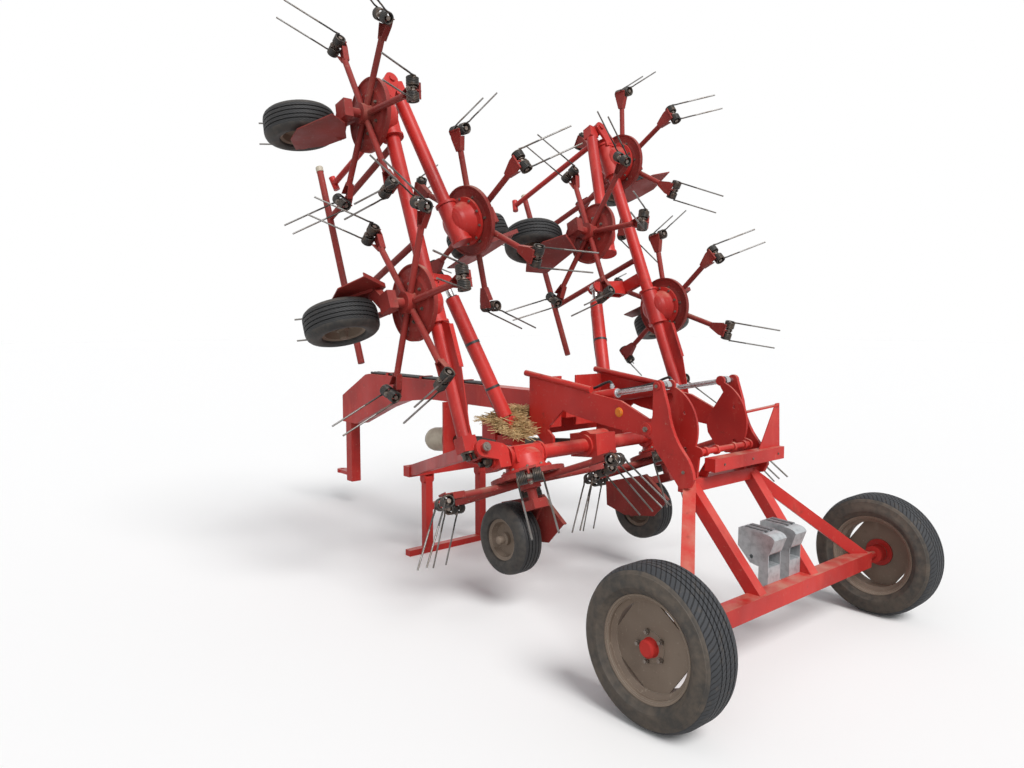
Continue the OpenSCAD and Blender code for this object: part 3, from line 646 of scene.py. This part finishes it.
# Tyres. bead: half widths on the seat; wall: over the flange, in from the side;
# shoulder: under the tread's radius, in from the side
roadTyre = {"radius": 0.322, "half": 0.0975, "seat": 0.200, "flange": 0.212, "crown": 0.045, "steps": 112,
            "bead": (0.0495, 0.069),
            "wall": ((0.001, 0.028), (0.001, 0.0235), (0.006, 0.020), (0.011, 0.0145), (0.014, 0.014),
                     (0.024, 0.0045), (0.027, 0.0015), (0.046, 0.0), (0.049, 0.0018)),
            "shoulder": ((0.037, 0.004), (0.031, 0.0055), (0.030, 0.0085), (0.0155, 0.0155),
                         (0.013, 0.021), (0.005, 0.034)),
            "grooves": (-0.039, -0.013, 0.013, 0.039), "grooveHalf": (0.0032, 0.00192), "grooveDeep": 0.008,
            "treadDeep": 0.016, "treadShare": 0.46}
smallTyre = {"radius": 0.195, "half": 0.080, "seat": 0.1125, "flange": 0.1175, "crown": 0.030, "steps": 64,
             "bead": (0.050, 0.060),
             "wall": ((0.0, 0.0075), (0.0105, 0.003), (0.0325, 0.0), (0.0405, 0.002), (0.0585, 0.009)),
             "shoulder": ((0.009, 0.018), (0.003, 0.030)),
             "grooves": (-0.034, -0.012, 0.012, 0.034), "grooveHalf": (0.003, 0.0018), "grooveDeep": 0.006,
             "treadDeep": 0.0, "treadShare": 1.0}

# Half of the small rim: radius and distance from its middle, from the cap to the bead; then its well
smallRim = {"steps": 48, "well": (0.108, 0.055),
            "half": ((0.0, 0.091), (0.015, 0.091), (0.021, 0.086), (0.024, 0.052), (0.034, 0.046),
                     (0.034, 0.024), (0.050, 0.020), (0.082, 0.022), (0.092, 0.036), (0.097, 0.056),
                     (0.110, 0.0585), (0.119, 0.0655), (0.121, 0.0655), (0.1205, 0.061), (0.112, 0.055))}


def grooved(points, look):
    # Cuts the grooves into a tread that runs from low to high
    (half, footHalf), deep = look["grooveHalf"], look["grooveDeep"]
    cut = []
    for (r0, z0), (r1, z1) in zip(points, points[1:]):
        cut.append((r0, z0))
        for groove in look["grooves"]:
            if z0 < groove <= z1:
                level = r0 + (r1 - r0) * (groove - z0) / (z1 - z0)
                cut += [(level, groove - half), (level - deep, groove - footHalf),
                        (level - deep, groove + footHalf), (level, groove + half)]
    return cut + [points[-1]]


def tyreShape(look):
    half, radius, crown = look["half"], look["radius"], look["crown"]
    wall = [(look["seat"], -z) for z in look["bead"]]
    wall += [(look["flange"] + over, inward - half) for over, inward in look["wall"]]
    wall += [(radius - under, inward - half) for under, inward in look["shoulder"]]
    edge, edgeZ = wall.pop()
    tread = grooved([(edge, edgeZ), (radius, -crown), (radius, crown), (edge, -edgeZ)], look)
    profile = wall + tread + [(r, -z) for r, z in reversed(wall)]
    band = [0.5 + z / (2 * half) * (look["treadShare"] if r > radius - look["treadDeep"] else 1.0)
            for r, z in profile]
    return lathe(profile, look["steps"], True, band)


def smallRimShape():
    near, far = [(r, -z) for r, z in smallRim["half"]], list(reversed(smallRim["half"]))
    return lathe(near + [smallRim["well"]] + far, smallRim["steps"], False)


roadTyreForm, smallTyreForm, smallRimForm = tyreShape(roadTyre), tyreShape(smallTyre), smallRimShape()
for side in sides:
    at = wheelPlace(f"wheel_{side}_turn")
    addPiece(f"road_tyre_{side}", moved(roadTyreForm, at), "tyre", f"wheel_{side}",
             f"tyre_{side}", smooth=40)
    for place in places:
        gauge = f"gauge_{place}_{side}"
        at = wheelPlace(f"{gauge}_turn")
        addPiece(f"small_tyre_{place}_{side}", moved(smallTyreForm, at), "gaugeTyre", gauge,
                 gauge, smooth=40)
        addPiece(f"small_rim_{place}_{side}", moved(smallRimForm, at), "gaugeRim", gauge,
                 smooth=40)
print("tyres made")

# Wheel bolts, and the flange behind the road wheel's plate
roadHub = {"bolts": 5, "boltRing": 0.06072, "boltsAt": 0.966, "boltSize": (0.012, 0.010, 0.008, 0.008),
           "inner": 0.030, "outer": 0.072, "low": 0.944, "high": 0.9545, "bevel": 0.002, "steps": 40}

wheelBolt = moved(hexBolt(*roadHub["boltSize"]), shift(roadHub["boltRing"], 0, 0))
wheelBoltsShape = turnedBolts(wheelBolt, roadHub["bolts"])


def hubFlangeShape():
    inner, outer, low, high, bevel = (roadHub[key] for key in ("inner", "outer", "low", "high", "bevel"))
    profile = [(inner, low), (outer - bevel, low), (outer, low + bevel), (outer, high), (inner, high)]
    return lathe(profile, roadHub["steps"])


hubFlange = hubFlangeShape()
for side, out in sides.items():
    at = Matrix.Translation(machine(0, out * roadHub["boltsAt"], axle["z"])) @ turn(-90 * out, "X")
    addPiece(f"wheel_bolts_{side}", moved(wheelBoltsShape, at), "bolt", f"wheel_{side}")
    addPiece(f"hub_flange_{side}", moved(hubFlange, facing(machine(0, 0, axle["z"]), (0, out, 0))), "paint",
             f"wheel_{side}")

# The wing beam's root from the inner rotor, and the cap on the guard tube's end
wingRoot = {"back": -0.815, "up": 0.167}
guardCap = {"place": (0.870, 2.130, -0.030), "radius": 0.0235, "inside": -0.030, "proud": 0.008,
            "bevel": 0.006}


def wingPlace(side):
    return rotorPlace("inner", side) @ shift(0, wingRoot["back"], wingRoot["up"])


def addGuardCap(side):
    cap = disc(guardCap["radius"], guardCap["inside"], guardCap["proud"], guardCap["bevel"])
    at = wingPlace(side) @ shift(*guardCap["place"]) @ turn(-90, "X")
    addPiece(f"guard_cap_{side}", moved(cap, at), "cream", f"wing_{side}")


# Cylinder fittings; the hoses' routes are away from the cylinder's axis and along it
hoseSteps = {"along": 6, "around": 10}
liftCylinder = {"strap": (0.0405, 0.0440), "strapWide": 0.014, "straps": (0.22, 0.50),
                "gland": (0.0225, 0.034, 0.7935, 0.801), "hoseRadius": 0.0085,
                "route": ((0.040, 0.085), (0.054, 0.105), (0.055, 0.22), (0.0505, 0.36),
                          (0.055, 0.50), (0.0505, 0.64), (0.050, 0.735), (0.038, 0.755))}
carriageCylinder = {"aside": 0.245, "portAt": 0.545, "portFoot": 0.026, "portRadius": 0.0095,
                    "nutFoot": 0.034, "nut": (0.013, 0.008, 0.008, 0.004),
                    "gland": (0.0148, 0.024, 0.5745, 0.580), "hoseRadius": 0.0075,
                    "route": ((0.050, 0.545), (0.064, 0.535), (0.062, 0.50), (0.046, 0.42),
                              (0.038, 0.30), (0.0375, 0.15), (0.034, 0.07))}


def lineOf(turnName, slideName):
    return facing(joints[turnName]["pos_m"], joints[slideName]["axis"])


def acrossLine(line, way):
    # The way as seen along the line, square to it
    inLine = line.to_3x3().inverted() @ way
    return Vector((inLine.x, inLine.y, 0)).normalized()


def hoseShape(cylinder, way):
    track = [way * away + Vector((0, 0, z)) for away, z in cylinder["route"]]
    return sweep(smoothPath(track, hoseSteps["along"]), cylinder["hoseRadius"], hoseSteps["around"])


def addLiftFittings(side):
    line = lineOf(f"lift_{side}_turn", f"lift_{side}_slide")
    barrel = f"lift_barrel_{side}"
    straps = [ringShape(*liftCylinder["strap"], z, z + liftCylinder["strapWide"])
              for z in liftCylinder["straps"]]
    rings = join(straps + [ringShape(*liftCylinder["gland"])])
    addPiece(f"lift_straps_{side}", moved(rings, line), "rubber", barrel)
    hose = hoseShape(liftCylinder, acrossLine(line, ahead()))
    addPiece(f"lift_hose_{side}", moved(hose, line), "rubber", barrel)


def addCarriageFittings(side, out):
    middle = lineOf("carriage_barrel_turn", "carriage_rod_slide")
    line = shift(0, out * carriageCylinder["aside"], 0) @ middle
    way = acrossLine(line, Vector((0, 0, 1)))
    along = Vector((0, 0, carriageCylinder["portAt"]))
    tube = disc(carriageCylinder["portRadius"], 0.0, carriageCylinder["portFoot"])
    port = join([moved(tube, facing(way * carriageCylinder["portFoot"] + along, way)),
                 moved(hexBolt(*carriageCylinder["nut"]),
                       facing(way * carriageCylinder["nutFoot"] + along, way)),
                 ringShape(*carriageCylinder["gland"])])
    addPiece(f"carriage_port_{side}", moved(port, line), "zinc", "carriage_barrels")
    addPiece(f"carriage_hose_{side}", moved(hoseShape(carriageCylinder, way), line), "rubber",
             "carriage_barrels")


# Reflectors on the side plates, washers and bolts on the sickle plates
plateFittings = {"reflector": (0.775, 0.296, 1.112), "reflectorBase": (0.0245, -0.001, 0.006),
                 "reflectorLens": (0.0200, 0.005, 0.0085, 0.003), "outside": 0.319,
                 "pivot": (0.578, 1.048), "eye": (0.516, 1.262), "corner": (0.352, 0.868),
                 "washer": (0.0202, 0.031, -0.0005, 0.004), "eyeWasher": (0.020, -0.0005, 0.005),
                 "boltsLift": 0.0045, "pivotBolt": (0.014, 0.009, 0.007, 0.004),
                 "eyeBolt": (0.009, 0.006, 0.005, 0.003), "cornerBolt": (0.009, 0.005, 0.005, 0.003)}


def onSickle(key, out):
    x, z = plateFittings[key]
    return facing(machine(x, out * plateFittings["outside"], z), (0, out, 0))


def addPlateFittings(side, out):
    x, y, z = plateFittings["reflector"]
    reflector = join([disc(*plateFittings["reflectorBase"]), disc(*plateFittings["reflectorLens"])])
    at = facing(machine(x, out * y, z), (0, out, 0))
    addPiece(f"reflector_{side}", moved(reflector, at), "amber", "machine")
    pivot, eye, corner = (onSickle(key, out) for key in ("pivot", "eye", "corner"))
    washers = join([moved(ringShape(*plateFittings["washer"]), pivot),
                    moved(disc(*plateFittings["eyeWasher"]), eye)])
    addPiece(f"pivot_washers_{side}", washers, "paint", "carriage")
    lift = shift(0, 0, plateFittings["boltsLift"])
    bolts = join([moved(hexBolt(*plateFittings["pivotBolt"]), pivot @ lift),
                  moved(hexBolt(*plateFittings["eyeBolt"]), eye @ lift),
                  moved(hexBolt(*plateFittings["cornerBolt"]), corner)])
    addPiece(f"pivot_bolts_{side}", bolts, "bolt", "carriage")


for side, out in sides.items():
    addGuardCap(side)
    addLiftFittings(side)
    addCarriageFittings(side, out)
    addPlateFittings(side, out)

# Claw clutches at the wings' hinges, one half on the machine and one on the wing, and the hinge pins' caps
clutch = {"drop": 0.052, "fixedBack": 0.047, "wingBack": 0.010, "inner": 0.017, "outer": 0.037,
          "fingers": 3, "fingerDeg": 44, "fingerLength": 0.031, "turnedDeg": 30, "halfSteps": 3,
          "plate": (0.040, -0.010, 0.0), "shaft": (0.026, -0.030, -0.009)}
hingeCap = {"back": 0.093, "plate": (0.0235, -0.004, 0.006), "knob": (0.012, 0.005, 0.011)}


def clutchHalf():
    # A disc with fingers along Z, which reach between those of the other half
    half, steps = math.radians(clutch["fingerDeg"] / 2), clutch["halfSteps"]
    shapes = [disc(*clutch["plate"]), disc(*clutch["shaft"])]
    for k in range(clutch["fingers"]):
        middle = 2 * math.pi * k / clutch["fingers"] + math.radians(clutch["turnedDeg"])
        arc = [middle + half * i / steps for i in range(-steps, steps + 1)]
        outline = [(clutch["outer"] * math.cos(a), clutch["outer"] * math.sin(a)) for a in arc]
        outline += [(clutch["inner"] * math.cos(a), clutch["inner"] * math.sin(a)) for a in reversed(arc)]
        shapes.append(plateShape(outline, -sunk, clutch["fingerLength"]))
    return join(shapes)


clutchShape = clutchHalf()
capShape = join([disc(*hingeCap["plate"]), disc(*hingeCap["knob"])])
for side in sides:
    fixed = hingePlace(side) @ shift(0, -clutch["fixedBack"], -clutch["drop"]) @ turn(-90, "X")
    folded = wingPlace(side) @ shift(0, -clutch["wingBack"], -clutch["drop"]) @ turn(90, "X")
    nearCap = hingePlace(side) @ shift(-hingeCap["back"], 0, 0) @ turn(-90, "Y")
    addPiece(f"clutch_fixed_{side}", moved(clutchShape, fixed), "steel", "machine")
    addPiece(f"clutch_wing_{side}", moved(clutchShape, folded), "steel", f"wing_{side}")
    addPiece(f"hinge_cap_{side}", moved(capShape, nearCap), "bolt", "machine")

# Clips across the hoses on the drawbar, with a foot on each side
hoseClips = {"places": (2.45, 2.95, 3.42), "half": 0.052, "level": 1.1635, "long": 0.028, "thick": 0.004,
             "feetFrom": 1.1445, "feetTo": 1.1665, "feetHalf": 0.003}


def clipShape(x):
    long, half, level, foot = (hoseClips[key] for key in ("long", "half", "level", "feetHalf"))
    boxes = [block((x - long / 2, -half, level), (x + long / 2, half, level + hoseClips["thick"]))]
    for y in (foot - half, half - foot):
        boxes.append(block((x - long / 2, y - foot, hoseClips["feetFrom"]),
                           (x + long / 2, y + foot, hoseClips["feetTo"])))
    return join(boxes)


clips = join([clipShape(x) for x in hoseClips["places"]])
addPiece("hose_clips", moved(clips, shift(axle["x"])), "paint", "machine")

# Bolts on the light bar's front and one on its bracket: place and way
barBolts = {"size": (0.006, 0.004, 0.003, 0.002), "sunk": 0.0005,
            "places": (((0.270, -0.36, 0.893), (-1, 0, 0)), ((0.270, -0.13, 0.893), (-1, 0, 0)),
                       ((0.270, 0.11, 0.893), (-1, 0, 0)), ((0.352, 0.157, 0.866), (0, 1, 0)))}

barBolt = moved(hexBolt(*barBolts["size"]), shift(0, 0, -barBolts["sunk"]))
barBoltShapes = [moved(barBolt, facing(machine(*at), way)) for at, way in barBolts["places"]]
addPiece("light_bar_bolts", join(barBoltShapes), "bolt", "carriage")

# Slots and ribs on the wheel chocks' sloping tops, the slots as thin dark strips of painted shade; each
# chock's middle along Y and width
chocks = {"near": (0.035, 0.104), "far": (-0.146, 0.098), "slope": ((0.072, 0.5944), (0.192, 0.59865)),
          "deep": 0.003, "slots": (-0.2, 0.2), "slotThick": 0.021, "slotProud": 0.0016,
          "ribs": (-0.46, -0.34, -0.06, 0.06, 0.34, 0.46), "ribThick": 0.0035, "ribProud": 0.0055}


def topStrips(name, kind):
    # Strips along the slope, at the kind's shares of the chock's width
    centreY, wide = chocks[name]
    (x0, z0), (x1, z1) = chocks["slope"]
    deep, proud = chocks["deep"], chocks[kind + "Proud"]
    outline = [(x0, z0 - deep), (x1, z1 - deep), (x1, z1 + proud), (x0, z0 + proud)]
    return moved(join([upright(outline, centreY + share * wide, chocks[kind + "Thick"])
                       for share in chocks[kind + "s"]]), shift(axle["x"]))


for name in ("near", "far"):
    # The slots are dark strips of painted shade
    addPiece(f"chock_slots_{name}", topStrips(name, "slot"), "slot", "carriage")
    addPiece(f"chock_ribs_{name}", topStrips(name, "rib"), "zinc", "carriage")

# Black rim round the front of the drive shaft's guard
guardRim = {"rear": (1.2244, 0, 0.8638), "front": (2.930, 0, 0.697), "inside": 0.006, "outside": 0.004,
            "back": 0.022, "proud": 0.003, "endZone": 0.002}


def guardRimShape():
    # The guard's own mesh gives where it ends and how wide it is there
    rear = machine(*guardRim["rear"])
    way = (machine(*guardRim["front"]) - rear).normalized()
    points = [v.co - rear for v in frame["nodes"]["shaft_guard"].data.vertices]
    end = max(p.dot(way) for p in points)
    radius = max((p - way * p.dot(way)).length for p in points if p.dot(way) > end - guardRim["endZone"])
    ring = ringShape(radius - guardRim["inside"], radius + guardRim["outside"],
                     end - guardRim["back"], end + guardRim["proud"])
    return moved(ring, facing(rear, way))


addPiece("guard_rim", guardRimShape(), "rubber", "machine")
print("fittings made")

# Straw left on the frame: the field it covers from the axle, the mound, and the stalks
strawHeap = {"low": (1.38, 0.16), "high": (1.68, 0.48), "step": 0.02, "reach": 2, "heap": 0.070,
             "from": 1.06, "lowest": 0.80, "on": ("cylinder_mount", "gear_beam", "front_frame", "drawbar")}
stalks = {"density": 17000.0, "length": 0.13, "thick": 0.0016, "seed": 4}
stalkRange = {"turnLow": (1.25, -0.3, 0.0), "turnHigh": (1.85, 0.3, 6.283), "scaleLow": 0.35,
              "scaleHigh": 1.3}


def strawLevels(columns, rows):
    # The highest top face under each point of the field, where one carries straw
    carriers = [node.data for name, node in frame["nodes"].items() if name in strawHeap["on"]]
    trees = [BVHTree.FromPolygons([v.co for v in mesh.vertices], [p.vertices for p in mesh.polygons])
             for mesh in carriers]
    x0, y0 = strawHeap["low"]
    levels = {}
    for i in range(columns):
        for j in range(rows):
            start = machine(x0 + i * strawHeap["step"], y0 + j * strawHeap["step"], strawHeap["from"])
            hits = [tree.ray_cast(start, Vector((0, 0, -1)))[0] for tree in trees]
            highest = max((hit.z for hit in hits if hit is not None), default=0.0)
            if highest > strawHeap["lowest"]:
                levels[i, j] = highest
    return levels


def strawBed():
    # A low mound over what carries the straw
    (x0, y0), (x1, y1), step, reach = (strawHeap[key] for key in ("low", "high", "step", "reach"))
    columns, rows = round((x1 - x0) / step) + 1, round((y1 - y0) / step) + 1
    levels = strawLevels(columns, rows)
    verts, faces, numbers = [], [], {}
    for i in range(columns):
        for j in range(rows):
            near = [z for (a, b), z in levels.items() if abs(a - i) <= reach and abs(b - j) <= reach]
            if near:
                away = min(1.0, math.hypot((i / (columns - 1) - 0.5) * 2, (j / (rows - 1) - 0.5) * 2))
                z = sum(near) / len(near) + strawHeap["heap"] * (1 - away ** 2)
                numbers[i, j] = len(verts)
                verts.append(tuple(machine(x0 + i * step, y0 + j * step, z)))
    for i, j in numbers:
        corners = [(i, j), (i + 1, j), (i + 1, j + 1), (i, j + 1)]
        if all(corner in numbers for corner in corners):
            faces.append(tuple(numbers[corner] for corner in corners))
    return verts, faces, []


def strawTree():
    # Stalks spread over a mesh, each lying its own way
    tree, names, given = newGeometryTree("straw", {"density": "Float", "length": "Float", "thick": "Float",
                                                   "seed": "Int", "material": "Material"})
    spread = newNode(tree, "GeometryNodeDistributePointsOnFaces",
                     {"Mesh": given["Geometry"], "Density": given["density"], "Seed": given["seed"]})
    stalk = newNode(tree, "GeometryNodeMeshCylinder",
                    {"Vertices": 3, "Radius": given["thick"], "Depth": given["length"]})
    angle = newNode(tree, "FunctionNodeRandomValue", {0: stalkRange["turnLow"], 1: stalkRange["turnHigh"],
                                                      "Seed": given["seed"]}, data_type="FLOAT_VECTOR")
    scale = newNode(tree, "FunctionNodeRandomValue", {2: stalkRange["scaleLow"], 3: stalkRange["scaleHigh"],
                                                      "Seed": given["seed"]}, data_type="FLOAT")
    putCopies(tree, spread.outputs["Points"], stalk.outputs["Mesh"], given["material"],
              {"Rotation": angle.outputs[0], "Scale": scale.outputs[1]})
    return tree, names


bed = makeMesh("bed", strawBed(), "straw", smooth=None)
strawShape = realized(bed, *strawTree(), {**stalks, "material": materials["straw"]})
addPiece("straw_on_frame", strawShape, "straw", "machine", smooth=None)
print("straw made")

# Floor, sky and lamps: way, strength and spread; the floor as it is seen, and as it lights from below
studio = {"floorHalf": 60, "floorSeen": (0.924, 0.914, 0.903), "floorBelow": (0.34, 0.32, 0.30),
          "floorRough": 0.95, "sky": (0.93, 0.96, 1.0, 1), "skyStrength": 0.42,
          "lamps": {"key": ((0.80, -0.12, -0.85), 2.7, 0.5), "fill": ((0.5, -1.0, -0.35), 0.45, 1.2)}}


def dressNodes():
    slotOf = {part["node"]: part["material_slot"] for part in record["subparts"]}
    for name, node in frame["nodes"].items():
        finish = "rod" if name.startswith(("lift_rod", "carriage_rods")) else slotOf[name]
        node.data.materials.clear()
        node.data.materials.append(materials[finish])


def seenAsWhite(tree):
    # 1 for rays from the camera, mirrored or through glass
    path = newNode(tree, "ShaderNodeLightPath", {}).outputs
    mirrored = calculate(tree, "MAXIMUM", path["Is Glossy Ray"], path["Is Transmission Ray"])
    return calculate(tree, "MAXIMUM", path["Is Camera Ray"], mirrored)


def makeFloor():
    material, tree, shader = newMaterial("pale floor")
    tone = mixColours(tree, seenAsWhite(tree), studio["floorBelow"], studio["floorSeen"])
    setInputs(tree, shader, {"Base Color": tone, "Roughness": studio["floorRough"]})
    materials["floor"] = material
    half = studio["floorHalf"]
    corners = [(-half, -half, 0), (half, -half, 0), (half, half, 0), (-half, half, 0)]
    floor = makeMesh("floor", (corners, [(0, 1, 2, 3)], []), "floor", smooth=None)


def makeWorld():
    world = bpy.data.worlds.new("studio")
    bpy.context.scene.world = world
    world.use_nodes = True
    tree = world.node_tree
    sky = tree.nodes["Background"]
    setInputs(tree, sky, {"Color": studio["sky"], "Strength": studio["skyStrength"]})
    white = newNode(tree, "ShaderNodeBackground", {"Color": (1, 1, 1, 1)})
    mix = newNode(tree, "ShaderNodeMixShader",
                  {"Fac": seenAsWhite(tree), 1: sky.outputs[0], 2: white.outputs[0]})
    setInputs(tree, tree.nodes["World Output"], {"Surface": mix.outputs[0]})


def makeLamps():
    for name, (way, strength, spread) in studio["lamps"].items():
        lamp = bpy.data.lights.new(name, "SUN")
        lamp.energy = strength
        lamp.angle = spread
        holder = bpy.data.objects.new(name, lamp)
        holder.rotation_euler = Vector(way).to_track_quat("-Z", "Y").to_euler()
        bpy.context.collection.objects.link(holder)


dressNodes()
makeFloor()
makeWorld()
makeLamps()
bpy.context.scene.view_settings.view_transform = "Standard"
print("studio made")
